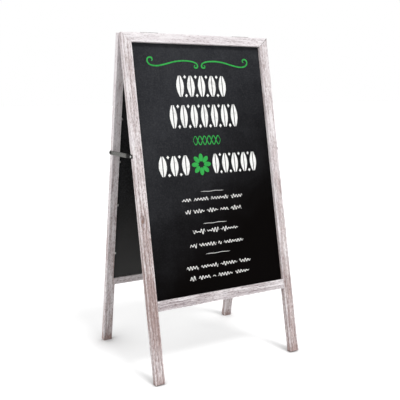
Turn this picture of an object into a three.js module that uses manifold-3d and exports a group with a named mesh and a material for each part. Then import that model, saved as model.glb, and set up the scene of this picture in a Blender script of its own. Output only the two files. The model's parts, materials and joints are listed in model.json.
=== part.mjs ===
// A-frame sandwich board: two identical wooden frames with chalkboards, hinged together at the top
// and held apart by a flat steel stay on each side. Units are millimetres and +Z is up. The origin
// is on the ground, midway between the feet; -Y is the front and +X is the right-hand side.
import * as THREE from "three";
import { mergeVertices } from "three/addons/utils/BufferGeometryUtils.js";
import Module from "manifold-3d";

const wasm = await Module();
wasm.setup();

// Driving dimensions.
const GAP = 0.3; // clearance between pieces that touch on the real object
const FRAME_WIDTH = 508;
const FRAME_LENGTH = 1016; // along the stiles, top edge to foot
const SPLAY = THREE.MathUtils.degToRad(11); // lean of each frame from the vertical
const STILE_FACE = 30;
const WOOD_DEPTH = 19;
const TOP_RAIL_FACE = 28;
const BOTTOM_RAIL_FACE = 29;
const LEG_LENGTH = 205; // from the bottom rail's lower edge to the foot
const TENON = { length: 12, depth: 6, height: 21 };
const REBATE_FACE = 6; // how far the board's rebate reaches into the wood
const REBATE_DEPTH = 7.5; // measured from the inner face of the frame
const BOARD_DEPTH = 3;
const POINT = { depth: 0.8, width: 7, buried: 5, proud: 6 };
const SIDE_POINTS = [0.13, 0.3, 0.48, 0.67, 0.89]; // places of the points, as parts of the opening
const RAIL_POINTS = [0.25, 0.75];
const HINGE = { length: 50, leaf: 1.5, reach: 16, knuckleRadius: 3, pinRadius: 1.4, knuckles: 5 };
const HINGE_FROM_MIDDLE = 160;
const HINGE_SCREW = { shank: 1.5, head: 2.8, headDepth: 1.1, length: 14, fromMiddle: 17 };
const STAY = { width: 12.5, depth: 2, fromTop: 360, slotWidth: 6, slotAngle: 59 };
const WASHER = { radius: 6, depth: 1 };
const STAY_SCREW = { shank: 2.5, pivotHead: 4.4, catchHead: 3.7, headDepth: 2.4, length: 14 };
const SCREW_POINT = 2; // length of a screw's point, in shank radii
const PAN_HEAD = [[1, 0], [1, 0.45], [0.86, 0.8], [0.5, 1], [0, 1]]; // parts of its radius and depth
const PIN_HEAD = { depth: 1.2, crown: 0.7 };
const CROSS_RECESS = { arm: 0.55, slot: 0.13, depth: 0.6 }; // parts of a head's radius and depth
const OVERCUT = 1; // how far a cutter passes the face that it cuts
const ROUND_SIDES = 24;

// Derived places, in a frame's own axes: x across, -y outward, z up with 0 at the hinge pins.
const HALF_WIDTH = FRAME_WIDTH / 2;
const INNER_FACE = -GAP; // the frame's inner face, just off the folding plane
const OUTER_FACE = INNER_FACE - WOOD_DEPTH;
const MID_DEPTH = (INNER_FACE + OUTER_FACE) / 2;
const TOP = -HINGE.knuckleRadius - GAP; // the frame's top edge, under the hinge knuckles
const FOOT = TOP - FRAME_LENGTH;
const OPENING_TOP = TOP - TOP_RAIL_FACE;
const RAIL_BASE = FOOT + LEG_LENGTH;
const OPENING_BASE = RAIL_BASE + BOTTOM_RAIL_FACE;
const OPENING_HALF = HALF_WIDTH - STILE_FACE;
const REBATE_FLOOR = INNER_FACE - REBATE_DEPTH;
const BOARD_BACK = REBATE_FLOOR + GAP + BOARD_DEPTH;
const PIN_HEIGHT = -FOOT * Math.cos(SPLAY) + INNER_FACE * Math.sin(SPLAY);
const STAY_HEIGHT = TOP - STAY.fromTop;
const STAY_INNER = HALF_WIDTH + GAP + WASHER.depth + GAP; // inner face of a stay, from the middle
const STAY_OUTER = STAY_INNER + STAY.depth;

const WOOD = { color: 0xe0dadb, roughness: 0.75, metalness: 0 };
const CHALKBOARD = { color: 0x222224, roughness: 0.65, metalness: 0 };
const STEEL = { color: 0x8c8c8a, roughness: 0.4, metalness: 1 };

// Solid modelling helpers.
function solid(geometry) {
  const plain = geometry.index ? geometry.toNonIndexed() : geometry.clone();
  plain.deleteAttribute("normal");
  plain.deleteAttribute("uv");
  const merged = mergeVertices(plain, 1e-4);
  return new wasm.Manifold(
    new wasm.Mesh({
      numProp: 3,
      vertProperties: merged.attributes.position.array,
      triVerts: new Uint32Array(merged.index.array),
    }),
  );
}

function box(x0, x1, y0, y1, z0, z1) {
  const geometry = new THREE.BoxGeometry(x1 - x0, y1 - y0, z1 - z0);
  return solid(geometry.translate((x0 + x1) / 2, (y0 + y1) / 2, (z0 + z1) / 2));
}

function inOrder(a, b) {
  return [Math.min(a, b), Math.max(a, b)];
}

// An outline of [x, z] corners, as thick as y0 to y1.
function slab(outline, y0, y1) {
  const shape = new THREE.Shape(outline.map(([x, z]) => new THREE.Vector2(x, z)));
  const geometry = new THREE.ExtrudeGeometry(shape, { depth: y1 - y0, bevelEnabled: false });
  return solid(geometry.rotateX(Math.PI / 2).translate(0, y1, 0));
}

// A round piece from [radius, height] profile corners that start and end on the axis, along +Z.
function turned(profile) {
  const points = profile.map(([r, z]) => new THREE.Vector2(r, z));
  return new THREE.LatheGeometry(points, ROUND_SIDES).rotateX(Math.PI / 2);
}

function rod(radius, z0, z1) {
  return turned([[0, z0], [radius, z0], [radius, z1], [0, z1]]);
}

function meshOf(name, shape, finish) {
  const { vertProperties, triVerts } = shape.getMesh();
  const geometry = new THREE.BufferGeometry();
  geometry.setAttribute("position", new THREE.BufferAttribute(vertProperties, 3));
  geometry.setIndex(new THREE.BufferAttribute(triVerts, 1));
  geometry.computeVertexNormals();
  const mesh = new THREE.Mesh(geometry, new THREE.MeshStandardMaterial(finish));
  mesh.name = name;
  return mesh;
}

// The stub tenon through both ends of the bottom rail, in the wood in front of the rebate; room is
// what a mortise adds all round.
function tenon(x0, x1, room) {
  const middleY = (OUTER_FACE + REBATE_FLOOR) / 2;
  const middleZ = RAIL_BASE + BOTTOM_RAIL_FACE / 2;
  const halfDepth = TENON.depth / 2 + room;
  const halfHeight = TENON.height / 2 + room;
  return box(x0, x1, middleY - halfDepth, middleY + halfDepth, middleZ - halfHeight, middleZ + halfHeight);
}

function railRebate(z0, z1) {
  return box(-HALF_WIDTH, HALF_WIDTH, REBATE_FLOOR, OVERCUT, z0, z1);
}

// Wooden members. A stile runs from the mitred top corner to the foot; side is -1 or 1 in x.
function stile(side) {
  const outer = side * HALF_WIDTH;
  const inner = side * OPENING_HALF;
  const outline = [[outer, FOOT], [inner, FOOT], [inner, OPENING_TOP - GAP], [outer, TOP - GAP]];
  const overEdge = inner - side * OVERCUT;
  const rebateX = inOrder(overEdge, inner + side * REBATE_FACE);
  const rebate = box(...rebateX, REBATE_FLOOR, OVERCUT, OPENING_BASE - REBATE_FACE, TOP);
  const mortiseX = inOrder(overEdge, inner + side * (TENON.length + GAP));
  return slab(outline, OUTER_FACE, INNER_FACE).subtract(rebate).subtract(tenon(...mortiseX, GAP));
}

function topRail() {
  const outline = [
    [-OPENING_HALF, OPENING_TOP],
    [OPENING_HALF, OPENING_TOP],
    [HALF_WIDTH, TOP],
    [-HALF_WIDTH, TOP],
  ];
  const rebate = railRebate(OPENING_TOP - OVERCUT, OPENING_TOP + REBATE_FACE);
  return slab(outline, OUTER_FACE, INNER_FACE).subtract(rebate);
}

function bottomRail() {
  const end = OPENING_HALF - GAP;
  const tenonEnd = OPENING_HALF + TENON.length;
  const body = box(-end, end, OUTER_FACE, INNER_FACE, RAIL_BASE, OPENING_BASE);
  const rebate = railRebate(OPENING_BASE - REBATE_FACE, OPENING_BASE + OVERCUT);
  return body.subtract(rebate).add(tenon(-tenonEnd, tenonEnd, 0));
}

function chalkboard() {
  const half = OPENING_HALF + REBATE_FACE - GAP;
  return box(
    -half,
    half,
    BOARD_BACK - BOARD_DEPTH,
    BOARD_BACK,
    OPENING_BASE - REBATE_FACE + GAP,
    OPENING_TOP + REBATE_FACE - GAP,
  );
}

// The steel points that hold a board in its rebate: place and direction of each, from its wood edge.
function pointPlaces() {
  const openingHeight = OPENING_TOP - OPENING_BASE;
  const places = [];
  for (const side of [-1, 1]) {
    SIDE_POINTS.forEach((part, index) => {
      places.push({
        member: side < 0 ? "left_stile" : "right_stile",
        name: `${side < 0 ? "left" : "right"}_point_${index + 1}`,
        x: side * (OPENING_HALF + REBATE_FACE),
        z: OPENING_TOP - part * openingHeight,
        inward: [-side, 0],
      });
    });
  }
  for (const end of [1, -1]) {
    RAIL_POINTS.forEach((part, index) => {
      places.push({
        member: end > 0 ? "top_rail" : "bottom_rail",
        name: `${end > 0 ? "top" : "bottom"}_point_${index + 1}`,
        x: (2 * part - 1) * OPENING_HALF,
        z: end > 0 ? OPENING_TOP + REBATE_FACE : OPENING_BASE - REBATE_FACE,
        inward: [0, -end],
      });
    });
  }
  return places;
}

// A thin plate half in the wood and half over the back of the board; room is the slot's clearance.
function retainingPoint(place, room) {
  const [dx, dz] = place.inward;
  const half = POINT.width / 2 + room;
  const buried = POINT.buried + room;
  const y0 = BOARD_BACK + GAP - room;
  const y1 = BOARD_BACK + GAP + POINT.depth + room;
  if (dx !== 0) {
    const x = inOrder(place.x - dx * buried, place.x + dx * POINT.proud);
    return box(...x, y0, y1, place.z - half, place.z + half);
  }
  const z = inOrder(place.z - dz * buried, place.z + dz * POINT.proud);
  return box(place.x - half, place.x + half, y0, y1, ...z);
}

// Hinges, in a frame's own axes. A leaf lies on the top edge and carries every other knuckle.
const HINGE_PITCH = HINGE.length / HINGE.knuckles;
const LEAF_BASE = -HINGE.knuckleRadius;
const LEAF_TOP = LEAF_BASE + HINGE.leaf;
const SCREW_DEPTH = -(HINGE.reach + HINGE.knuckleRadius + GAP) / 2;

function hingeLeaf(first) {
  const half = HINGE.length / 2;
  const plateEdge = -HINGE.knuckleRadius - GAP;
  let leaf = box(-half, half, -HINGE.reach, plateEdge, LEAF_BASE, LEAF_TOP);
  for (let index = first; index < HINGE.knuckles; index += 2) {
    const x0 = -half + index * HINGE_PITCH + GAP / 2;
    const x1 = x0 + HINGE_PITCH - GAP;
    const barrel = rod(HINGE.knuckleRadius, x0, x1).rotateY(Math.PI / 2);
    const web = box(x0, x1, plateEdge - OVERCUT, 0, LEAF_BASE, LEAF_TOP);
    leaf = leaf.add(solid(barrel)).add(web);
  }
  const bore = rod(HINGE.pinRadius + GAP, -half - OVERCUT, half + OVERCUT).rotateY(Math.PI / 2);
  leaf = leaf.subtract(solid(bore));
  for (const side of [-1, 1]) {
    const hole = turned([
      [0, -OVERCUT],
      [HINGE_SCREW.shank + GAP, -OVERCUT],
      [HINGE_SCREW.shank + GAP, HINGE.leaf - HINGE_SCREW.headDepth - GAP],
      [HINGE_SCREW.head + GAP, HINGE.leaf - GAP / 2],
      [HINGE_SCREW.head + GAP, HINGE.leaf + OVERCUT],
      [0, HINGE.leaf + OVERCUT],
    ]);
    hole.translate(side * HINGE_SCREW.fromMiddle, SCREW_DEPTH, LEAF_BASE);
    leaf = leaf.subtract(solid(hole));
  }
  return leaf;
}

function hingePin() {
  const neck = HINGE.length / 2 + GAP;
  const crown = PIN_HEAD.crown * HINGE.knuckleRadius;
  const half = [
    [HINGE.pinRadius, neck],
    [HINGE.knuckleRadius, neck],
    [HINGE.knuckleRadius, neck + PIN_HEAD.depth / 2],
    [crown, neck + PIN_HEAD.depth],
    [0, neck + PIN_HEAD.depth],
  ];
  const otherHalf = half.map(([radius, x]) => [radius, -x]).reverse();
  return solid(turned([...otherHalf, ...half]).rotateY(Math.PI / 2));
}

// The cross in a screw's head, whose top is at the given height.
function crossRecess(radius, headDepth, top) {
  const arm = radius * CROSS_RECESS.arm;
  const slot = radius * CROSS_RECESS.slot;
  const floor = top - headDepth * CROSS_RECESS.depth;
  const across = box(-arm, arm, -slot, slot, floor, top + OVERCUT);
  return across.add(box(-slot, slot, -arm, arm, floor, top + OVERCUT));
}

// The pointed stem of a screw, up to where its head begins.
function screwStem(shank, length, headBase) {
  return [[0, -length], [shank, -length + SCREW_POINT * shank], [shank, headBase]];
}

// A countersunk wood screw whose head is level with the leaf.
function hingeScrew() {
  const { shank, head, headDepth, length } = HINGE_SCREW;
  const body = turned([...screwStem(shank, length, -headDepth), [head, 0], [0, 0]]);
  return solid(body).subtract(crossRecess(head, headDepth, 0));
}

// Stay hardware, turned along +Z with the outer face of the stile at z = 0.
const STAY_HEAD_BASE = STAY_OUTER - HALF_WIDTH + GAP;

function headedScrew(stem, headRadius) {
  const { headDepth } = STAY_SCREW;
  const head = PAN_HEAD.map(([r, z]) => [r * headRadius, STAY_HEAD_BASE + z * headDepth]);
  const recess = crossRecess(headRadius, headDepth, STAY_HEAD_BASE + headDepth);
  return solid(turned([...stem, ...head])).subtract(recess);
}

function pivotScrew() {
  const stem = screwStem(STAY_SCREW.shank, STAY_SCREW.length, STAY_HEAD_BASE);
  return headedScrew(stem, STAY_SCREW.pivotHead);
}

// The catch screw has a shoulder in place of the washer, so that the stay's hook can leave it.
function catchScrew() {
  const { shank, catchHead, length } = STAY_SCREW;
  const stem = [
    ...screwStem(shank, length, GAP),
    [catchHead, GAP],
    [catchHead, GAP + WASHER.depth],
    [shank, GAP + WASHER.depth],
    [shank, STAY_HEAD_BASE],
  ];
  return headedScrew(stem, catchHead);
}

function stayWasher() {
  const hole = solid(rod(STAY_SCREW.shank + GAP, -OVERCUT, WASHER.depth + OVERCUT));
  return solid(rod(WASHER.radius, 0, WASHER.depth)).subtract(hole);
}

// The flat stay, drawn along the board's depth and height and then stood across its width: the
// pivot eye is at the origin and the hook a length away towards the front. The hook's slot opens
// downwards and back towards the pivot, which is the way the catch screw leaves it.
function stayBar(length) {
  const half = STAY.width / 2;
  const flat = { depth: STAY.depth, bevelEnabled: false, curveSegments: ROUND_SIDES / 2 };
  const outline = new THREE.Shape();
  outline.absarc(0, 0, half, Math.PI / 2, -Math.PI / 2, true);
  outline.absarc(-length, 0, half, -Math.PI / 2, Math.PI / 2, true);
  const eye = new THREE.Path();
  eye.absarc(0, 0, STAY_SCREW.shank + GAP, 0, 2 * Math.PI, false);
  outline.holes.push(eye);
  const bar = new THREE.ExtrudeGeometry(outline, flat);
  const slotHalf = STAY.slotWidth / 2;
  const slotOutline = new THREE.Shape();
  slotOutline.absarc(0, 0, slotHalf, Math.PI / 2, -Math.PI / 2, false);
  slotOutline.lineTo(STAY.width, -slotHalf);
  slotOutline.lineTo(STAY.width, slotHalf);
  const through = { ...flat, depth: STAY.depth + 2 * OVERCUT };
  const slot = new THREE.ExtrudeGeometry(slotOutline, through);
  slot.rotateZ(-THREE.MathUtils.degToRad(STAY.slotAngle)).translate(-length, 0, -OVERCUT);
  const across = (geometry) => geometry.rotateX(Math.PI / 2).rotateZ(Math.PI / 2);
  return solid(across(bar)).subtract(solid(across(slot)));
}

// The four wooden members of one frame, with the pockets and pilot holes for its fittings.
function woodenMembers() {
  const members = {
    left_stile: stile(-1),
    right_stile: stile(1),
    top_rail: topRail(),
    bottom_rail: bottomRail(),
  };
  for (const place of pointPlaces()) {
    members[place.member] = members[place.member].subtract(retainingPoint(place, GAP));
  }
  for (const hingeX of [-HINGE_FROM_MIDDLE, HINGE_FROM_MIDDLE]) {
    for (const side of [-1, 1]) {
      const hole = rod(HINGE_SCREW.shank + GAP, -HINGE_SCREW.length - GAP, HINGE.leaf);
      hole.translate(hingeX + side * HINGE_SCREW.fromMiddle, SCREW_DEPTH, LEAF_TOP);
      members.top_rail = members.top_rail.subtract(solid(hole));
    }
  }
  for (const side of [-1, 1]) {
    const member = side < 0 ? "left_stile" : "right_stile";
    const hole = rod(STAY_SCREW.shank + GAP, -STAY_SCREW.length - GAP, OVERCUT);
    hole.rotateY((side * Math.PI) / 2).translate(side * HALF_WIDTH, MID_DEPTH, STAY_HEIGHT);
    members[member] = members[member].subtract(solid(hole));
  }
  return members;
}

// One frame with everything screwed to it. The rear frame is the front one turned half round, so
// its own left is the board's right: nameOf puts the board's sides into the names.
function frameGroup(frame, hasPins, makeStayScrew, stayScrewName) {
  const group = new THREE.Group();
  const swapped = { left: "right", right: "left" };
  const nameOf = (side) => (frame === "front" ? side : swapped[side]);
  const add = (name, shape, finish) => {
    const mesh = meshOf(name, shape, finish);
    group.add(mesh);
    return mesh;
  };
  for (const [member, shape] of Object.entries(woodenMembers())) {
    const [side, rest] = member.split("_");
    const name = side in swapped ? `${nameOf(side)}_${rest}` : member;
    add(`${frame}_${name}`, shape, WOOD);
  }
  add(`${frame}_chalkboard`, chalkboard(), CHALKBOARD);
  for (const place of pointPlaces()) {
    const [side, ...rest] = place.name.split("_");
    const name = [side in swapped ? nameOf(side) : side, ...rest].join("_");
    add(`${frame}_${name}`, retainingPoint(place, 0), STEEL);
  }
  for (const side of ["left", "right"]) {
    const sign = side === "left" ? -1 : 1;
    const hinge = `${nameOf(side)}_hinge`;
    const hingeX = sign * HINGE_FROM_MIDDLE;
    add(`${hinge}_${frame}_leaf`, hingeLeaf(hasPins ? 0 : 1), STEEL).position.x = hingeX;
    if (hasPins) add(`${hinge}_pin`, hingePin(), STEEL).position.x = hingeX;
    for (const [index, end] of [-1, 1].entries()) {
      const screw = add(`${hinge}_${frame}_screw_${index + 1}`, hingeScrew(), STEEL);
      screw.position.set(hingeX + end * HINGE_SCREW.fromMiddle, SCREW_DEPTH, LEAF_TOP);
    }
    const stayScrew = add(`${nameOf(side)}_stay_${stayScrewName}`, makeStayScrew(), STEEL);
    stayScrew.position.set(sign * HALF_WIDTH, MID_DEPTH, STAY_HEIGHT);
    stayScrew.rotation.y = (sign * Math.PI) / 2;
    if (stayScrewName === "pivot_screw") {
      const washer = add(`${nameOf(side)}_stay_washer`, stayWasher(), STEEL);
      washer.position.set(sign * (HALF_WIDTH + GAP), MID_DEPTH, STAY_HEIGHT);
      washer.rotation.y = (sign * Math.PI) / 2;
    }
  }
  group.position.z = PIN_HEIGHT;
  group.rotation.x = -SPLAY;
  return group;
}

// The stays join the middles of the stiles, level with the ground.
function stays() {
  const group = new THREE.Group();
  const pivotY = -(MID_DEPTH * Math.cos(SPLAY) + STAY_HEIGHT * Math.sin(SPLAY));
  const pivotZ = PIN_HEIGHT - MID_DEPTH * Math.sin(SPLAY) + STAY_HEIGHT * Math.cos(SPLAY);
  for (const [side, x] of [["left", -STAY_OUTER], ["right", STAY_INNER]]) {
    const stay = meshOf(`${side}_stay`, stayBar(2 * pivotY), STEEL);
    stay.position.set(x, pivotY, pivotZ);
    group.add(stay);
  }
  return group;
}

const board = new THREE.Group();
const rearHalf = new THREE.Group();
rearHalf.add(frameGroup("rear", false, pivotScrew, "pivot_screw"));
rearHalf.rotation.z = Math.PI;
board.add(frameGroup("front", true, catchScrew, "catch_screw"), rearHalf, stays());

export default board;
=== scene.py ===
"""The looks of a folding A-frame sandwich board: whitewashed timber, chalkboards and zinced steel."""

import json
import math

import bmesh
import bpy
from mathutils import Matrix, Vector, noise


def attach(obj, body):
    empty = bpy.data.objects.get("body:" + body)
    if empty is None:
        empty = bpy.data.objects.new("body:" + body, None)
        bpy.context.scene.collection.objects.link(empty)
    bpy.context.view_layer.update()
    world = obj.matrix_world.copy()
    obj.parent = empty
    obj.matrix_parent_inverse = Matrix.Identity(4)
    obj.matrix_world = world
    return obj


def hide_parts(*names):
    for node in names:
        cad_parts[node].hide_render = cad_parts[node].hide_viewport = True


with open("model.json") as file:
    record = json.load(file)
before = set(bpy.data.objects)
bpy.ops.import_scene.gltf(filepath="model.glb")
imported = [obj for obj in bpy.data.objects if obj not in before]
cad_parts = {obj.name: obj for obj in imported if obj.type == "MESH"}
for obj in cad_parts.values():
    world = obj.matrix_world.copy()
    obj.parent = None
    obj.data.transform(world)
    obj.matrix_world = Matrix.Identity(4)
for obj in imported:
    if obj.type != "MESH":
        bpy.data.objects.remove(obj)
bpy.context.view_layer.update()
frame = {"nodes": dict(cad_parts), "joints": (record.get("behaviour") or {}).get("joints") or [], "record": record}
MM = 0.001

# ---------------------------------------------------------------- the two leaning frames' own axes

FOLD = next(joint for joint in frame["joints"] if joint["name"] == "fold")
SPLAY = math.radians(FOLD["range_deg"][1] / 2)
PIN_LINE = Matrix.Translation(FOLD["pos_m"])
LEAN = PIN_LINE @ Matrix.Rotation(-SPLAY, 4, "X")
TURNED_LEAN = PIN_LINE @ Matrix.Rotation(math.pi, 4, "Z") @ Matrix.Rotation(-SPLAY, 4, "X")
# A frame's own axes: x across it, -y outward, z up its length, with zero at the hinge pins.
TO_ROW = {"front": LEAN, "rear": TURNED_LEAN}
TO_FRAME = {side: matrix.inverted() for side, matrix in TO_ROW.items()}
BODY = {"front": "front_frame", "rear": "rear_frame"}


def frame_box(node, side):
    """Lowest and highest corner of a CAD node in the axes of the front or rear frame."""
    points = [TO_FRAME[side] @ vertex.co for vertex in frame["nodes"][node].data.vertices]
    low = Vector(min(point[axis] for point in points) for axis in range(3))
    high = Vector(max(point[axis] for point in points) for axis in range(3))
    return low, high


# ---------------------------------------------------------------- node helpers


def add(tree, kind, settings=None, **inputs):
    """A new node; an input's value is a number or the socket that feeds it."""
    node = tree.nodes.new(kind)
    for name, value in (settings or {}).items():
        setattr(node, name, value)
    for name, value in inputs.items():
        connect(tree, value, node.inputs[name.replace("_", " ")])
    return node


def connect(tree, value, socket):
    """Links value to the socket if it is a socket too, and else sets it."""
    if isinstance(value, bpy.types.NodeSocket):
        tree.links.new(value, socket)
    else:
        socket.default_value = value


def blend(tree, factor, low, high, mode="MIX"):
    """Colour that goes from low to high as the factor goes from 0 to 1."""
    node = tree.nodes.new("ShaderNodeMix")
    node.data_type = "RGBA"
    node.blend_type = mode
    for socket, value in zip((node.inputs[0], node.inputs[6], node.inputs[7]), (factor, low, high)):
        connect(tree, value, socket)
    return node.outputs[2]


def math_node(tree, operation, *values):
    node = tree.nodes.new("ShaderNodeMath")
    node.operation = operation
    for value, socket in zip(values, node.inputs):
        connect(tree, value, socket)
    return node.outputs[0]


def span(tree, value, low, high, start=0.0, end=1.0):
    """Smooth step of value from low to high, giving start to end."""
    settings = {"interpolation_type": "SMOOTHSTEP"}
    made = add(tree, "ShaderNodeMapRange", settings, Value=value)
    for name, number in (("From Min", low), ("From Max", high), ("To Min", start), ("To Max", end)):
        made.inputs[name].default_value = number
    return made.outputs[0]


def grain_noise(tree, vector, scale, detail=3.0, roughness=0.55, distortion=0.0):
    """Noise of vector, stretched by a scale for each axis, per metre."""
    stretched = add(tree, "ShaderNodeMapping", Vector=vector, Scale=scale).outputs[0]
    made = add(tree, "ShaderNodeTexNoise", Vector=stretched, Scale=1.0, Detail=detail)
    made.inputs["Roughness"].default_value = roughness
    made.inputs["Distortion"].default_value = distortion
    return made.outputs[0]


def attribute(tree, name, output):
    return add(tree, "ShaderNodeAttribute", {"attribute_name": name}).outputs[output]


def weighted(tree, *terms):
    """Sum of sockets, each times its weight."""
    total = 0.0
    for value, weight in terms:
        total = math_node(tree, "MULTIPLY_ADD", value, weight, total)
    return total


def vector_node(tree, operation, first, second):
    node = add(tree, "ShaderNodeVectorMath", {"operation": operation})
    connect(tree, first, node.inputs[0])
    connect(tree, second, node.inputs["Scale" if operation == "SCALE" else 1])
    return node.outputs[0]


def new_material(name):
    material = bpy.data.materials.new(name)
    material.use_nodes = True
    tree = material.node_tree
    return material, tree, tree.nodes["Principled BSDF"]


def colour(red, green, blue):
    """A display colour, 0 to 255, as the linear colour that a shader takes."""
    def linear(value):
        part = value / 255
        return part / 12.92 if part <= 0.04045 else ((part + 0.055) / 1.055) ** 2.4

    return linear(red), linear(green), linear(blue), 1.0


# ---------------------------------------------------------------- materials


KNOT_REACH = (1.6 * MM, 4.8 * MM)  # from a knot's dark heart to its rim
SWIRL_REACH = (3 * MM, 22 * MM)  # where the grain bends round a knot, and where it runs straight
KNOT_LENGTH = 0.55  # how far a knot's shape is squashed along the grain


def knot_in_grain(tree, plain):
    """How much of a knot there is at a place, and the grain coordinates bent round it."""
    apart = vector_node(tree, "SUBTRACT", plain, attribute(tree, "knot", "Vector"))
    squashed = add(tree, "ShaderNodeMapping", Vector=apart, Scale=(1, 1, KNOT_LENGTH)).outputs[0]
    length = add(tree, "ShaderNodeVectorMath", {"operation": "LENGTH"})
    connect(tree, squashed, length.inputs[0])
    reach = length.outputs["Value"]
    swirl = vector_node(tree, "SCALE", apart, span(tree, reach, *SWIRL_REACH, -0.75, 0.0))
    return span(tree, reach, *KNOT_REACH, 0.85, 0.0), vector_node(tree, "ADD", plain, swirl)


def growth_rings(tree, grain):
    """Rings round an axis that lies along the grain."""
    rings = add(tree, "ShaderNodeTexWave", {"wave_type": "RINGS", "rings_direction": "Z"})
    wander = add(tree, "ShaderNodeMapping", Vector=grain, Scale=(1, 1, 0.06)).outputs[0]
    tree.links.new(wander, rings.inputs["Vector"])
    for name, value in (("Scale", 38.0), ("Distortion", 2.6), ("Detail", 3.0), ("Detail Scale", 1.2)):
        rings.inputs[name].default_value = value
    return rings.outputs["Fac"]


def whitewashed_wood():
    """Softwood under a thin brushed whitewash; how worn it is, with some painted light, and how warm come from
    each member's attributes.
    """
    material, tree, shader = new_material("whitewashed_wood")
    edge, wear_and_painted_light, warm = (attribute(tree, name, "Fac") for name in ("edge", "wear_and_painted_light", "warm"))
    knot, grain = knot_in_grain(tree, attribute(tree, "grain", "Vector"))

    fibre = grain_noise(tree, grain, (1000, 1000, 40), detail=4)
    streak = grain_noise(tree, grain, (270, 270, 8), detail=5, roughness=0.66, distortion=0.5)
    patch = grain_noise(tree, grain, (60, 60, 11), detail=3)
    drag = grain_noise(tree, grain, (420, 420, 75), detail=5, roughness=0.72)
    fleck = grain_noise(tree, grain, (300, 300, 120), detail=4, roughness=0.75)
    ring = growth_rings(tree, grain)

    pale = blend(tree, warm, colour(176, 166, 170), colour(196, 160, 146))
    deep = blend(tree, warm, colour(112, 102, 106), colour(122, 90, 78))
    timber = blend(tree, span(tree, ring, 0.1, 0.9, 0.0, 0.55), pale, deep)
    timber = blend(tree, span(tree, fibre, 0.42, 0.66), timber, deep)
    timber = blend(tree, span(tree, fleck, 0.56, 0.68, 0.0, 0.75), timber, colour(88, 66, 54))
    timber = blend(tree, knot, timber, colour(128, 96, 82))

    # How much each pattern lets the bare timber show through the wash.
    through = ((streak, 0.8), (patch, 0.35), (drag, 0.45), (fleck, 0.62), (ring, 0.05), (knot, 0.4))
    bare = weighted(tree, *through, (wear_and_painted_light, 0.75))
    chips = math_node(tree, "MULTIPLY", span(tree, edge, 0.62, 1.0), span(tree, drag, 0.5, 0.62))
    bare = weighted(tree, (bare, 1.0), (chips, 0.34), (edge, -0.18))
    bare = span(tree, bare, 1.27, 1.70, 0.03, 0.95)

    wash = blend(tree, span(tree, patch, 0.3, 0.7), colour(244, 240, 241), colour(229, 222, 224))
    wash = blend(tree, span(tree, fibre, 0.45, 0.72, 0.0, 0.8), wash, colour(196, 186, 190))
    wash = blend(tree, span(tree, fleck, 0.52, 0.66, 0.0, 0.6), wash, colour(186, 174, 177))
    tree.links.new(blend(tree, bare, wash, timber), shader.inputs["Base Color"])
    tree.links.new(span(tree, bare, 0.0, 0.8, 0.72, 0.9), shader.inputs["Roughness"])
    shader.inputs["Specular IOR Level"].default_value = 0.25

    relief = weighted(tree, (fibre, -0.6), (drag, 0.5), (bare, -0.35))
    bump = add(tree, "ShaderNodeBump", Height=relief, Strength=0.8, Distance=0.0006)
    tree.links.new(bump.outputs[0], shader.inputs["Normal"])
    return material


def chalkboard_paint(name, low_tone, high_tone, heights, slant):
    """Matt black board paint; wiped chalk dust, with painted sheen in it, grows between two heights, on a slant.
    """
    material, tree, shader = new_material(name)
    place = add(tree, "ShaderNodeTexCoord").outputs["Object"]
    axes = add(tree, "ShaderNodeSeparateXYZ", Vector=place).outputs
    wiped = grain_noise(tree, place, (4.5, 4.5, 6), detail=5, roughness=0.62, distortion=0.6)
    smear = grain_noise(tree, place, (26, 26, 7), detail=4, roughness=0.65, distortion=0.4)
    dust = grain_noise(tree, place, (230, 230, 230), detail=4, roughness=0.7)
    uneven = ((wiped, 0.22), (smear, 0.06), (1.0, -0.14))
    # On the front board this rise is painted sheen as well as chalk dust: a reflection of the light put into the
    # colour.
    rise = weighted(tree, (axes[2], 1.0), (axes[0], slant), *uneven)
    chalk_dust_and_sheen = span(tree, rise, *heights)
    paint = blend(tree, chalk_dust_and_sheen, low_tone, high_tone)
    cloud = weighted(tree, (span(tree, wiped, 0.35, 0.7), 0.26), (span(tree, smear, 0.4, 0.7), 0.18))
    cloud = math_node(tree, "MULTIPLY", cloud, chalk_dust_and_sheen)
    paint = blend(tree, cloud, paint, (0.034, 0.035, 0.037, 1), "SCREEN")
    speck = math_node(tree, "MULTIPLY", span(tree, dust, 0.42, 0.68, 0.0, 0.42), chalk_dust_and_sheen)
    paint = blend(tree, speck, paint, (0.06, 0.06, 0.064, 1))
    tree.links.new(paint, shader.inputs["Base Color"])
    tree.links.new(span(tree, smear, 0.3, 0.7, 0.55, 0.68), shader.inputs["Roughness"])
    shader.inputs["Specular IOR Level"].default_value = 0.03
    bump = add(tree, "ShaderNodeBump", Height=dust, Strength=0.25, Distance=0.0002)
    tree.links.new(bump.outputs[0], shader.inputs["Normal"])
    return material


HOOK_SHADE = (-0.051, -0.035)  # y: the hooks take painted shade in front of the first, none past the second


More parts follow.
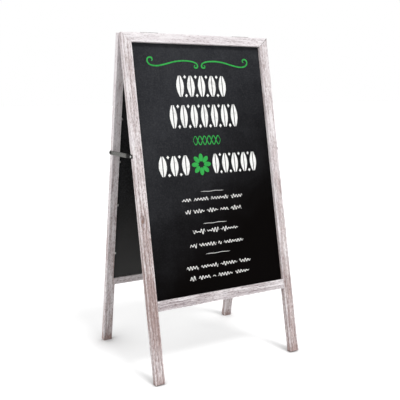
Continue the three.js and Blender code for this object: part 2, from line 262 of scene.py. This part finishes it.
def zinced_steel(name, bright, dull, dark_end=None):
    """Dull zinc: bloom and fine darker scuffs, and painted shade at one end if there is one."""
    material, tree, shader = new_material(name)
    place = add(tree, "ShaderNodeTexCoord").outputs["Object"]
    bloom = grain_noise(tree, place, (260, 260, 260), detail=4, roughness=0.65)
    scuff = grain_noise(tree, place, (900, 90, 900), detail=3)
    finish = blend(tree, span(tree, bloom, 0.35, 0.65), bright, dull)
    finish = blend(tree, span(tree, scuff, 0.58, 0.75, 0.0, 0.5), finish, colour(74, 70, 66))
    if dark_end:
        forward = add(tree, "ShaderNodeSeparateXYZ", Vector=place).outputs[1]
        # Painted shade: the stay darkens towards black at its hook end.
        painted_hook_shade = span(tree, forward, *dark_end, 1.0, 0.0)
        finish = blend(tree, painted_hook_shade, finish, colour(20, 20, 20))
    tree.links.new(finish, shader.inputs["Base Color"])
    tree.links.new(span(tree, bloom, 0.3, 0.7, 0.36, 0.55), shader.inputs["Roughness"])
    shader.inputs["Metallic"].default_value = 0.85
    bump = add(tree, "ShaderNodeBump", Height=scuff, Strength=0.3, Distance=0.0001)
    tree.links.new(bump.outputs[0], shader.inputs["Normal"])
    return material


def chalk(name, full, faint):
    """Chalk that skips over the board's tooth."""
    material, tree, shader = new_material(name)
    place = add(tree, "ShaderNodeTexCoord").outputs["Object"]
    tooth = grain_noise(tree, place, (1100, 1100, 1100), detail=2)
    press = grain_noise(tree, place, (70, 70, 70), detail=3)
    cover = math_node(
        tree, "MULTIPLY", span(tree, tooth, 0.3, 0.5, 0.6, 1.0), span(tree, press, 0.3, 0.5, 0.75, 1.0)
    )
    tree.links.new(blend(tree, cover, faint, full), shader.inputs["Base Color"])
    shader.inputs["Roughness"].default_value = 0.95
    shader.inputs["Specular IOR Level"].default_value = 0.1
    bump = add(tree, "ShaderNodeBump", Height=tooth, Strength=0.4, Distance=0.0002)
    tree.links.new(bump.outputs[0], shader.inputs["Normal"])
    return material


WOOD = whitewashed_wood()
# The front board's tone rises towards its top right: painted sheen, a reflection of the light, over wiped chalk.
FRONT_PAINT = chalkboard_paint(
    "front_board_paint", (0.0020, 0.0014, 0.0013, 1), (0.0205, 0.0216, 0.0255, 1), (0.31, 0.93), -0.74
)
# The rear board goes darker towards its top.
REAR_PAINT = chalkboard_paint(
    "rear_board_paint", (0.057, 0.056, 0.055, 1), (0.0095, 0.0095, 0.0095, 1), (0.2, 0.58), 0.0
)
STEEL = zinced_steel("zinced_steel", colour(168, 168, 165), colour(124, 123, 120))
STAY_STEEL = zinced_steel("stay_steel", colour(150, 150, 147), colour(112, 111, 108), HOOK_SHADE)
DARK_STEEL = zinced_steel("darkened_steel", colour(84, 84, 84), colour(56, 55, 54))
BRIGHT_STEEL = zinced_steel("bright_steel", colour(226, 226, 224), colour(190, 190, 188))
WHITE_CHALK = chalk("white_chalk", colour(246, 246, 244), colour(150, 150, 150))
GREEN_CHALK = chalk("green_chalk", colour(58, 172, 80), colour(30, 92, 44))

# ---------------------------------------------------------------- pieces


def finish_piece(mesh, name, body, material, replaced=(), matrix=None):
    """A piece of the bmesh, which the matrix, if there is one, takes from a frame's axes to the row's."""
    if matrix is not None:
        mesh.transform(matrix)
    bmesh.ops.recalc_face_normals(mesh, faces=mesh.faces)
    data = bpy.data.meshes.new(name)
    mesh.to_mesh(data)
    mesh.free()
    piece = bpy.data.objects.new(name, data)
    bpy.context.scene.collection.objects.link(piece)
    data.materials.append(material)
    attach(piece, body)
    if replaced:
        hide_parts(*replaced)
    return piece


def smooth_by_angle(mesh, degrees):
    """Shades the mesh smooth, but keeps the edges that turn by more than the angle sharp."""
    limit = math.radians(degrees)
    for face in mesh.faces:
        face.smooth = True
    for edge in mesh.edges:
        if len(edge.link_faces) == 2:
            edge.smooth = edge.calc_face_angle() < limit


# ---------------------------------------------------------------- timber

ARRIS = 1.3 * MM
END_ARRIS = 0.2 * MM
SLICE_ALONG = 9 * MM
SLICE_ACROSS = 2.6 * MM
HOLLOW = 0.16 * MM  # depth of the relief left by the plane and by weather
RELIEF_ACROSS, RELIEF_ALONG = 160, 14  # how fast that relief changes, per metre
RUBBED_EDGE = 0.7 * MM  # depth of the worn places along the arrises
RUBBED_REACH = 3.5 * MM
RUBS_ALONG, RUBS_ACROSS = 55, 30  # how fast they change, per metre
RUB_SHARE = 0.12  # noise below this leaves an arris whole
EDGE_REACH = 5 * MM  # how far from an arris the whitewash wears with it
SHORTEST_EASED = 12 * MM
ARRIS_TURN = math.radians(25)  # an edge that turns by less isn't an arris
WOOD_TURN = 35  # degrees; surfaces that meet at less are shaded smooth
MERGE = 0.005 * MM  # corners nearer than this are one
FLAT = math.radians(0.5)  # faces that meet at less are one

# Each member: grain seed; how worn the whitewash is from its low end to its high end, which on the rear left
# stile also paints light onto its upper part; how brown the bare timber is; a knot's place along and
# across it, as parts of its size, or None.
MEMBERS = {
    "front_left_stile": (1.7, (0.42, 0.7, 0.58, 0.4, 0.38, 0.4), 0.5, (0.46, 0.3)),
    "front_right_stile": (4.3, (0.58, 0.58, 0.44, 0.36, 0.38, 0.44), 0.5, None),
    "front_top_rail": (7.9, (0.2, 0.2, 0.22, 0.26, 0.3, 0.26), 0.2, None),
    "front_bottom_rail": (10.1, (0.5, 0.56, 0.46, 0.44, 0.5, 0.42), 0.1, None),
    # Painted light: the rear left stile's values fall towards its top, which lightens its upper part.
    "rear_left_stile": (13.4, (0.42, 0.42, 0.36, 0.28, 0.18, 0.12), 0.7, (0.63, 0.7)),
    "rear_right_stile": (17.2, (0.46, 0.42, 0.38, 0.36, 0.34, 0.34), 0.6, (0.35, 0.4)),
    "rear_top_rail": (21.6, (0.3, 0.32, 0.36, 0.3, 0.28, 0.3), 0.6, (0.3, 0.5)),
    "rear_bottom_rail": (24.8, (0.4, 0.44, 0.4, 0.36, 0.4, 0.42), 0.35, (0.7, 0.4)),
}
NO_KNOT = 1000.0  # a grain coordinate that is far outside every member
FOOT_SCUFF = 30 * MM  # height of the scuffed band at the feet
FOOT_WEAR = 0.3  # what the band adds to the wear at the very end


def clean_copy(node, side):
    """A CAD node's mesh with whole faces, in a frame's own axes."""
    mesh = bmesh.new()
    mesh.from_mesh(frame["nodes"][node].data)
    mesh.transform(TO_FRAME[side])
    bmesh.ops.remove_doubles(mesh, verts=mesh.verts, dist=MERGE)
    bmesh.ops.dissolve_limit(mesh, angle_limit=FLAT, verts=mesh.verts, edges=mesh.edges)
    return mesh


def ease_edges(mesh, axis, width, along):
    """Rounds the long edges that run along an axis, or the long ones that don't."""
    chosen = []
    for edge in mesh.edges:
        if len(edge.link_faces) != 2 or not edge.is_convex or edge.calc_length() < SHORTEST_EASED:
            continue
        if edge.calc_face_angle() < ARRIS_TURN:
            continue
        direction = (edge.verts[1].co - edge.verts[0].co).normalized()
        if (abs(direction[axis]) > 0.99) == along:
            chosen.append(edge)
    bmesh.ops.bevel(
        mesh, geom=chosen, offset=width, segments=2, profile=0.6, affect="EDGES", clamp_overlap=True
    )


def slice_mesh(mesh, axis, low, high, step):
    """Cuts the faces across an axis, about a step apart, so that they can bend."""
    count = max(1, round((high - low) / step))
    for index in range(1, count):
        place = Vector((0, 0, 0))
        place[axis] = low + (high - low) * index / count
        normal = Vector((0, 0, 0))
        normal[axis] = 1
        geometry = mesh.verts[:] + mesh.edges[:] + mesh.faces[:]
        bmesh.ops.bisect_plane(mesh, geom=geometry, plane_co=place, plane_no=normal, dist=1e-6)


def weather(mesh, axis, low, high, seed):
    """Presses the surface in a little along the grain, and more where the arrises are worn."""
    cross = [other for other in range(3) if other != axis]
    mesh.normal_update()
    moves = []
    for vertex in mesh.verts:
        point = vertex.co
        to_face = [min(point[other] - low[other], high[other] - point[other]) for other in cross]
        rim = max(0.0, 1 - max(to_face) / RUBBED_REACH)
        first, second = (point[other] * RELIEF_ACROSS for other in cross)
        wave = 0.5 + 0.5 * noise.noise(Vector((first, second, point[axis] * RELIEF_ALONG + seed)))
        along = point[axis] * RUBS_ALONG
        rubs = noise.noise(Vector((along, seed * 3.1, point[cross[0]] * RUBS_ACROSS)))
        depth = HOLLOW * wave + RUBBED_EDGE * rim * max(0.0, rubs - RUB_SHARE)
        moves.append(point - vertex.normal * depth)
    for vertex, place in zip(mesh.verts, moves):
        vertex.co = place


def between(values, part):
    """Value at a part, 0 to 1, of the way along evenly spaced values."""
    place = min(max(part, 0.0), 1.0) * (len(values) - 1)
    index = min(int(place), len(values) - 2)
    return values[index] + (values[index + 1] - values[index]) * (place - index)


def member_attributes(data, axis, low, high, look, to_frame):
    """What the wood's shader needs: grain coordinates, the knot, the arrises, how worn, with some painted light,
    and how warm.
    """
    seed, wear_and_painted_light_along, warmth, knot_place = look
    cross = [other for other in range(3) if other != axis]
    size = high - low
    # The rings' centre lies outside the member, in a place of its own for each seed.
    aside = 21 * MM + 13 * MM * math.sin(seed)
    behind = 34 * MM + 11 * MM * math.cos(seed * 1.7)
    shift = Vector((aside, behind, seed * 2.3))

    def grain_at(point):
        centred = [point[other] - (low[other] + high[other]) / 2 for other in cross]
        return Vector((centred[0], centred[1], point[axis])) + shift

    knot_centre = Vector((1, 1, 1)) * NO_KNOT
    if knot_place:
        knot_side = 2 if axis == 0 else 0
        knot_point = low.copy()
        knot_point[axis] += size[axis] * knot_place[0]
        knot_point[knot_side] += size[knot_side] * knot_place[1]
        knot_centre = grain_at(knot_point)

    for name, kind in (("grain", "FLOAT_VECTOR"), ("knot", "FLOAT_VECTOR")):
        data.attributes.new(name, kind, "POINT")
    for name in ("edge", "wear_and_painted_light", "warm"):
        data.attributes.new(name, "FLOAT", "POINT")
    names = ("grain", "knot", "edge", "wear_and_painted_light", "warm")
    grain, knot, edge, wear_and_painted_light, warm = (data.attributes[name] for name in names)
    for index, vertex in enumerate(data.vertices):
        point = to_frame @ vertex.co
        to_face = [min(point[other] - low[other], high[other] - point[other]) for other in cross]
        grain.data[index].vector = grain_at(point)
        knot.data[index].vector = knot_centre
        edge.data[index].value = max(0.0, 1 - max(to_face) / EDGE_REACH)
        rise = point[axis] - low[axis]
        scuff = max(0.0, 1 - rise / FOOT_SCUFF) if axis == 2 else 0.0
        wear_and_painted_light.data[index].value = between(wear_and_painted_light_along, rise / size[axis]) + FOOT_WEAR * scuff
        warm.data[index].value = warmth


def timber(node, look):
    """The piece that stands in for a wooden member, with eased arrises and a weathered surface."""
    side = node.split("_")[0]
    axis = 0 if "rail" in node else 2
    low, high = frame_box(node, side)
    mesh = clean_copy(node, side)
    ease_edges(mesh, axis, ARRIS, True)
    ease_edges(mesh, axis, END_ARRIS, False)
    for slice_axis in range(3):
        step = SLICE_ALONG if slice_axis == axis else SLICE_ACROSS
        slice_mesh(mesh, slice_axis, low[slice_axis], high[slice_axis], step)
    weather(mesh, axis, low, high, look[0])
    smooth_by_angle(mesh, WOOD_TURN)
    piece = finish_piece(
        mesh, f"{node}_timber", BODY[side], WOOD, [node], TO_ROW[side]
    )
    member_attributes(piece.data, axis, low, high, look, TO_FRAME[side])


for node, look in MEMBERS.items():
    timber(node, look)

# ---------------------------------------------------------------- steel

BODIES = frame["record"]["behaviour"]["bodies"]
BODY_OF = {node: body for body, nodes in BODIES.items() for node in nodes}
STEEL_EDGE = 0.25 * MM
STEEL_MERGE = 0.003 * MM
SHARP_TURN = 40  # degrees
NOT_STEEL = ("stile", "rail", "chalkboard")


def metalwork(node, material):
    """A steel CAD node again, with its edges broken and its rounds shaded smooth."""
    mesh = bmesh.new()
    mesh.from_mesh(frame["nodes"][node].data)
    bmesh.ops.remove_doubles(mesh, verts=mesh.verts, dist=STEEL_MERGE)
    bmesh.ops.dissolve_limit(mesh, angle_limit=FLAT, verts=mesh.verts, edges=mesh.edges)
    joined = [edge for edge in mesh.edges if len(edge.link_faces) == 2]
    sharp = [edge for edge in joined if edge.calc_face_angle() > math.radians(SHARP_TURN)]
    bmesh.ops.bevel(
        mesh, geom=sharp, offset=STEEL_EDGE, segments=2, profile=0.5, affect="EDGES", clamp_overlap=True
    )
    smooth_by_angle(mesh, SHARP_TURN)
    finish_piece(mesh, f"{node}_steel", BODY_OF[node], material, [node])


def steel_for(node):
    if node.endswith("catch_screw") or "point" in node:
        return BRIGHT_STEEL
    if node.endswith("pivot_screw"):
        return DARK_STEEL
    return STAY_STEEL if node.endswith("_stay") else STEEL


for node in frame["nodes"]:
    if not any(word in node for word in NOT_STEEL):
        metalwork(node, steel_for(node))

for side, paint in (("front", FRONT_PAINT), ("rear", REAR_PAINT)):
    board_materials = frame["nodes"][f"{side}_chalkboard"].data.materials
    board_materials.clear()
    board_materials.append(paint)

# ---------------------------------------------------------------- chalk marks on the front board

CHALK_RISE = 0.35 * MM
RIM_RISE = 0.03 * MM  # a mark's edge just clears the board
RIM_SLOPE = 0.2 * MM  # how far in from its edge a mark has its full rise
STROKE = 2.08 * MM
FRAME_TOP = frame_box("front_top_rail", "front")[1].z
BOARD_FACE = frame_box("front_chalkboard", "front")[0].y


def on_board(across, down, rise):
    """A place on the front board: from its middle, and down from the frame's top edge."""
    return Vector((across, BOARD_FACE - rise, FRAME_TOP - down))


def closed_outline(mesh, outline):
    """A thin chalk solid with this outline, a list of places on the board, sloping in at its rim."""
    count = len(outline)
    middle = Vector((sum(p[0] for p in outline) / count, sum(p[1] for p in outline) / count))
    rim = [mesh.verts.new(on_board(across, down, RIM_RISE)) for across, down in outline]
    face = []
    for across, down in outline:
        inward = (middle - Vector((across, down))).normalized() * RIM_SLOPE
        face.append(mesh.verts.new(on_board(across + inward.x, down + inward.y, CHALK_RISE)))
    mesh.faces.new(rim)
    mesh.faces.new(face[::-1])
    for index in range(count):
        after = (index + 1) % count
        mesh.faces.new((rim[index], face[index], face[after], rim[after]))


def ribbon(mesh, path, width):
    """A chalk stroke along a path, uneven at its edges and thinner towards its ends."""
    section = ((1, RIM_RISE), (0.8, CHALK_RISE), (-0.8, CHALK_RISE), (-1, RIM_RISE))
    points = [Vector(place) for place in path]
    last = len(points) - 1
    rows = []
    for index, point in enumerate(points):
        ahead = (points[min(index + 1, last)] - points[max(index - 1, 0)]).normalized()
        sideways = Vector((-ahead.y, ahead.x))
        part = index / last
        half = width / 2 * (1 + 0.16 * noise.noise(Vector((point.x, point.y, width)) * 300))
        half *= min(1.0, 0.35 + 6 * min(part, 1 - part))
        row = []
        for offset, rise in section:
            place = point + sideways * half * offset
            row.append(mesh.verts.new(on_board(place.x, place.y, rise)))
        rows.append(row)
    for first, second in zip(rows, rows[1:]):
        for index in range(4):
            after = (index + 1) % 4
            mesh.faces.new((first[index], first[after], second[after], second[index]))
    mesh.faces.new(rows[0][::-1])
    mesh.faces.new(rows[-1])


def smooth_path(places, steps=10):
    """Catmull-Rom curve through the places."""
    points = [Vector(place) for place in places]
    points = [points[0] * 2 - points[1]] + points + [points[-1] * 2 - points[-2]]
    path = []
    for p0, p1, p2, p3 in zip(points, points[1:], points[2:], points[3:]):
        for step in range(steps):
            t = step / steps
            line = 2 * p1 + (p2 - p0) * t
            bend = (2 * p0 - 5 * p1 + 4 * p2 - p3) * t**2
            twist = (3 * p1 - p0 - 3 * p2 + p3) * t**3
            path.append(0.5 * (line + bend + twist))
    path.append(points[-2])
    return path


LEAF_STEPS = 14
PETAL_STEPS = 16
LEAF_RIB = 2.6 * MM
THINNEST_LEAF = 0.4 * MM


def half_leaf(mesh, across, down, width, height, side):
    """One half of an upright leaf, on one side of the bare rib in its middle."""
    rib = across + side * LEAF_RIB / 2
    tips = (1, LEAF_STEPS - 1)
    outline = [(rib, down - height / 2 * (1 - 2 * step / LEAF_STEPS)) for step in tips]
    for step in range(LEAF_STEPS - 1, 0, -1):
        part = step / LEAF_STEPS
        bulge = width / 2 * math.sin(math.pi * part) ** 0.8
        bulge *= 1 + 0.05 * noise.noise(Vector((across, part, down)) * 40)
        place = across + side * max(bulge, LEAF_RIB / 2 + THINNEST_LEAF)
        outline.append((place, down - height / 2 + height * part))
    closed_outline(mesh, outline)


def diamond(mesh, across, down, width, height):
    outline = [(across, down - height / 2), (across + width / 2, down)]
    outline += [(across, down + height / 2), (across - width / 2, down)]
    closed_outline(mesh, outline)


def leaf_band(mesh, start, end, top, base, count):
    """Upright leaves with small diamonds between them, from start to end."""
    pitch = (end - start) / count
    down, height = (top + base) / 2, base - top
    for index in range(count):
        across = start + pitch * (index + 0.5)
        for side in (-1, 1):
            half_leaf(mesh, across, down, pitch * 0.68, height, side)
        if index < count - 1:
            for part in (-0.38, 0.38):
                diamond(mesh, across + pitch / 2, down + height * part, pitch * 0.26, height * 0.15)


def rosette(mesh, across, down, radius, petals):
    """Oval petals round a bare centre."""
    for petal in range(petals):
        angle = 2 * math.pi * petal / petals
        outward = Vector((math.sin(angle), -math.cos(angle)))
        sideways = Vector((-outward.y, outward.x))
        outline = []
        for step in range(PETAL_STEPS):
            turn = 2 * math.pi * step / PETAL_STEPS
            reach = radius * (0.62 + 0.36 * math.cos(turn))
            spread = radius * 0.21 * math.sin(turn)
            place = Vector((across, down)) + outward * reach + sideways * spread
            outline.append((place.x, place.y))
        closed_outline(mesh, outline)


SCRIBBLE_HEIGHT = 15 * MM
SCRIBBLE_WAVE = 1.55 * MM  # a wave's length, divided by 2 pi
SCRIBBLE_STEP = 0.8 * MM


def scribble(mesh, half_width, down, runs, seed):
    """A row of short wavy strokes with gaps between them."""
    total = sum(runs)
    gap = 0.04 * 2 * half_width
    usable = 2 * half_width - gap * (len(runs) - 1)
    start = -half_width
    for number, run in enumerate(runs):
        length = usable * run / total
        count = max(14, round(length / SCRIBBLE_STEP))
        path = []
        for index in range(count + 1):
            across = start + length * index / count
            swell = 0.5 + 0.8 * noise.noise(Vector((across * 75, seed, number)))
            wave = math.sin(across / SCRIBBLE_WAVE) * swell
            path.append((across, down + SCRIBBLE_HEIGHT / 2 * wave))
        ribbon(mesh, path, STROKE)
        start += length + gap


def chalk_piece(name, material, draw):
    """A piece of the marks that the draw function puts into a mesh."""
    mesh = bmesh.new()
    draw(mesh)
    bmesh.ops.triangulate(mesh, faces=[face for face in mesh.faces if len(face.verts) > 4])
    finish_piece(mesh, name, BODY["front"], material, matrix=TO_ROW["front"])


# Places and sizes of the marks, in metres: across from the board's middle, down from the frame's top.


def flourish(mesh):
    """Two mirrored scrolls whose outer and inner ends curl."""
    places = [
        (0.1625, 0.0800), (0.1590, 0.0765), (0.1600, 0.0715), (0.1660, 0.0690), (0.1725, 0.0715),
        (0.1755, 0.0780), (0.1725, 0.0870), (0.1620, 0.0930), (0.1420, 0.0940), (0.1150, 0.0885),
        (0.0870, 0.0815), (0.0580, 0.0780), (0.0310, 0.0790), (0.0130, 0.0840), (0.0070, 0.0920),
        (0.0100, 0.0985), (0.0170, 0.0980), (0.0185, 0.0930), (0.0150, 0.0905),
    ]
    for side in (-1, 1):
        ribbon(mesh, smooth_path([(side * across, down) for across, down in places]), 4.6 * MM)


def braid(mesh):
    """Two waves that cross."""
    half, down, swing, steps = 0.048, 0.322, 0.013, 89
    for phase in (0, math.pi):
        path = []
        for step in range(steps + 1):
            across = half * (2 * step / steps - 1)
            path.append((across, down + swing * math.sin(3 * math.pi * across / half + phase)))
        ribbon(mesh, path, 3.0 * MM)


def ruled(mesh):
    """Three short lines that a hand drew not quite straight."""
    steps, waver = 30, 0.6 * MM
    for half, down in ((0.040, 0.478), (0.041, 0.575), (0.043, 0.667)):
        path = []
        for step in range(steps + 1):
            path.append((half * (2 * step / steps - 1), down - waver * math.sin(step * 0.4)))
        ribbon(mesh, path, 1.2 * MM)


# Each row of wavy strokes: half its width, its place down, and how long its strokes are in turn.
ROWS = (
    (0.107, 0.500, (3, 5, 6, 4)), (0.100, 0.536, (2, 4, 4, 3, 4)), (0.080, 0.597, (4, 4, 6)),
    (0.095, 0.638, (2, 5, 1, 6)), (0.113, 0.703, (4, 6, 6, 4)), (0.106, 0.735, (2, 4, 1, 5, 5)),
)


def rows(mesh):
    for number, (half, down, runs) in enumerate(ROWS):
        scribble(mesh, half, down, runs, 3.3 * number)


# A band's numbers are its start and end, its top and base, and how many leaves it has.
MARKS = (
    ("chalk_flourish", GREEN_CHALK, flourish),
    ("chalk_band_1", WHITE_CHALK, lambda mesh: leaf_band(mesh, -0.093, 0.093, 0.118, 0.193, 5)),
    ("chalk_band_2", WHITE_CHALK, lambda mesh: leaf_band(mesh, -0.125, 0.125, 0.207, 0.288, 7)),
    ("chalk_braid", GREEN_CHALK, braid),
    ("chalk_band_3", WHITE_CHALK, lambda mesh: leaf_band(mesh, -0.178, -0.062, 0.360, 0.430, 3)),
    ("chalk_band_4", WHITE_CHALK, lambda mesh: leaf_band(mesh, 0.006, 0.178, 0.360, 0.430, 5)),
    ("chalk_rosette", GREEN_CHALK, lambda mesh: rosette(mesh, -0.028, 0.395, 0.034, 8)),
    ("chalk_rules", WHITE_CHALK, ruled),
    ("chalk_rows", WHITE_CHALK, rows),
)

for mark in MARKS:
    chalk_piece(*mark)

# ---------------------------------------------------------------- floor, light and camera


def look_at(thing, place, target):
    thing.location = place
    thing.rotation_euler = (Vector(target) - Vector(place)).to_track_quat("-Z", "Y").to_euler()


SKY = 0.40  # strength of the white sky that lights the board
FLOOR_HALF = 40  # metres
FLOOR_GREY = 0.62
PAPER_GREY, PAPER_LIFT = 0.72, 0.565  # what the camera sees in place of the grey
CONTACT_REACH = 0.16  # how near, in metres, a foot has to be for painted contact shadow to darken the floor
CONTACT_POWER = 2.8
LIGHTS = {  # where each light stands, seen from the board; strength; width of its disc in degrees
    "front_light": ((0.2, -1.0, 1.5), 2.0, 19),
    "left_light": ((-1.0, -0.32, 0.3), 1.75, 60),
}


def white_floor():
    """A pale floor, lifted where the camera sees it, so that it stays white beyond the shadows."""
    material, tree, shader = new_material("studio_floor")
    shader.inputs["Base Color"].default_value = (FLOOR_GREY, FLOOR_GREY, FLOOR_GREY, 1)
    shader.inputs["Roughness"].default_value = 0.9
    paper_tone = (PAPER_GREY, PAPER_GREY, PAPER_GREY, 1)
    paper = add(tree, "ShaderNodeBsdfDiffuse", Color=paper_tone).outputs[0]
    # Painted contact shadow: the floor's glow dims near the feet.
    occlusion = add(tree, "ShaderNodeAmbientOcclusion", {"samples": 16}, Distance=CONTACT_REACH)
    openness = math_node(tree, "POWER", occlusion.outputs["AO"], CONTACT_POWER)
    lift = math_node(tree, "MULTIPLY", openness, PAPER_LIFT)
    glow = add(tree, "ShaderNodeEmission", Color=(1, 1, 1, 1), Strength=lift).outputs[0]
    shown = add(tree, "ShaderNodeAddShader")
    connect(tree, paper, shown.inputs[0])
    connect(tree, glow, shown.inputs[1])
    seen = add(tree, "ShaderNodeLightPath").outputs["Is Camera Ray"]
    both = add(tree, "ShaderNodeMixShader", Fac=seen)
    connect(tree, shader.outputs[0], both.inputs[1])
    connect(tree, shown.outputs[0], both.inputs[2])
    tree.links.new(both.outputs[0], tree.nodes["Material Output"].inputs["Surface"])
    return material


def studio():
    """A white sky, two broad suns and the floor."""
    scene = bpy.context.scene
    scene.view_settings.view_transform = "Standard"
    world = bpy.data.worlds.new("studio")
    scene.world = world
    world.use_nodes = True
    tree = world.node_tree
    background = tree.nodes["Background"]
    seen = add(tree, "ShaderNodeLightPath").outputs["Is Camera Ray"]
    background.inputs["Color"].default_value = (1, 1, 1, 1)
    tree.links.new(span(tree, seen, 0.0, 1.0, SKY, 1.0), background.inputs["Strength"])

    for name, (place, strength, disc) in LIGHTS.items():
        data = bpy.data.lights.new(name, "SUN")
        data.energy = strength
        data.angle = math.radians(disc)
        light = bpy.data.objects.new(name, data)
        scene.collection.objects.link(light)
        look_at(light, place, (0, 0, 0))

    mesh = bmesh.new()
    bmesh.ops.create_grid(mesh, x_segments=1, y_segments=1, size=FLOOR_HALF)
    data = bpy.data.meshes.new("floor")
    mesh.to_mesh(data)
    mesh.free()
    floor = bpy.data.objects.new("floor", data)
    scene.collection.objects.link(floor)
    data.materials.append(white_floor())


CAMERA_PLACE = (-0.9932, -1.7833, 0.8245)
AZIMUTH, PITCH, ROLL = (math.radians(angle) for angle in (30.343, -8.69, -0.214))
LENS = 58.08
SHIFT = (-0.025, -0.02)


def camera():
    """Stands to the front left of the board, a little below its top edge, and looks slightly down."""
    data = bpy.data.cameras.new("camera")
    data.lens = LENS
    data.shift_x, data.shift_y = SHIFT
    made = bpy.data.objects.new("camera", data)
    bpy.context.scene.collection.objects.link(made)
    turn = Matrix.Rotation(-AZIMUTH, 4, "Z") @ Matrix.Rotation(math.pi / 2 + PITCH, 4, "X")
    made.matrix_world = Matrix.Translation(CAMERA_PLACE) @ turn @ Matrix.Rotation(ROLL, 4, "Z")
    bpy.context.scene.camera = made


studio()
camera()
